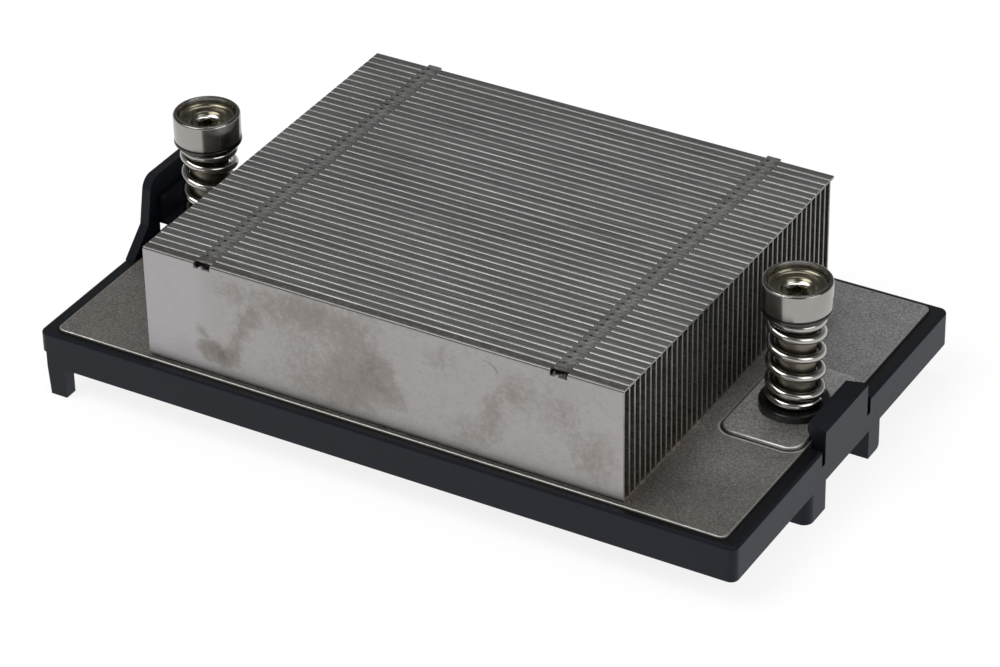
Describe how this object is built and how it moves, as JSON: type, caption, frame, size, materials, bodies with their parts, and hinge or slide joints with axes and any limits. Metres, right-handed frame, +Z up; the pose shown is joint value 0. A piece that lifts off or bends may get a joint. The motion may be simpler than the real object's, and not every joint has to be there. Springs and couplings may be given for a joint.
{
  "type": "passive server cpu heatsink",
  "caption": "Passive processor heatsink: folded interlocked fins on a metal base plate in a moulded carrier, held down by captive spring screws.",
  "frame": {"origin": "middle of the footprint, on the plane under the carrier's feet", "axes": "+X along the fins from the release lug to the snap tab's end, +Y across the fins to the rear, +Z up from the contact face"},
  "size_m": [0.1216, 0.073, 0.0344],
  "materials": {
    "fin_metal": "satin",
    "base_metal": "satin",
    "black_plastic": "matte",
    "screw_steel": "polished",
    "spring_steel": "polished",
    "seat_plastic": "satin",
    "ring_steel": "satin"
  },
  "bodies": {
    "heatsink": {"carrier_frame": "black_plastic", "base_plate": "base_metal", "fin_01": "fin_metal", "fin_02": "fin_metal", "fin_03": "fin_metal", "fin_04": "fin_metal", "fin_05": "fin_metal", "fin_06": "fin_metal", "fin_07": "fin_metal", "fin_08": "fin_metal", "fin_09": "fin_metal", "fin_10": "fin_metal", "fin_11": "fin_metal", "fin_12": "fin_metal", "fin_13": "fin_metal", "fin_14": "fin_metal", "fin_15": "fin_metal", "fin_16": "fin_metal", "fin_17": "fin_metal", "fin_18": "fin_metal", "fin_19": "fin_metal", "fin_20": "fin_metal", "fin_21": "fin_metal", "fin_22": "fin_metal", "fin_23": "fin_metal", "fin_24": "fin_metal", "fin_25": "fin_metal", "fin_26": "fin_metal", "fin_27": "fin_metal", "fin_28": "fin_metal", "fin_29": "fin_metal", "fin_30": "fin_metal", "fin_31": "fin_metal", "fin_32": "fin_metal", "fin_33": "fin_metal", "fin_34": "fin_metal", "fin_35": "fin_metal", "fin_36": "fin_metal", "fin_37": "fin_metal", "fin_38": "fin_metal", "fin_39": "fin_metal", "fin_40": "fin_metal", "fin_41": "fin_metal", "fin_42": "fin_metal", "left_spring_seat": "seat_plastic", "left_spring": "spring_steel", "right_spring_seat": "seat_plastic", "right_spring": "spring_steel"},
    "left_ring": {"left_retaining_ring": "ring_steel"},
    "left_fastener": {"left_screw": "screw_steel"},
    "right_ring": {"right_retaining_ring": "ring_steel"},
    "right_fastener": {"right_screw": "screw_steel"}
  },
  "joints": [
    {"name": "left_screw_press", "type": "slide", "parent": "heatsink", "child": "left_ring", "axis": [0, 0, 1], "range_m": [-0.005, 0], "stiffness_N_per_m": 1500, "springref_m": 0.004, "deforming": ["left_spring"]},
    {"name": "left_screw_turn", "type": "hinge", "parent": "left_ring", "child": "left_fastener", "pos_m": [-0.05207, 0, 0.02], "axis": [0, 0, 1], "continuous": true},
    {"name": "right_screw_press", "type": "slide", "parent": "heatsink", "child": "right_ring", "axis": [0, 0, 1], "range_m": [-0.005, 0], "stiffness_N_per_m": 1500, "springref_m": 0.004, "deforming": ["right_spring"]},
    {"name": "right_screw_turn", "type": "hinge", "parent": "right_ring", "child": "right_fastener", "pos_m": [0.05207, 0, 0.02], "axis": [0, 0, 1], "continuous": true}
  ]
}
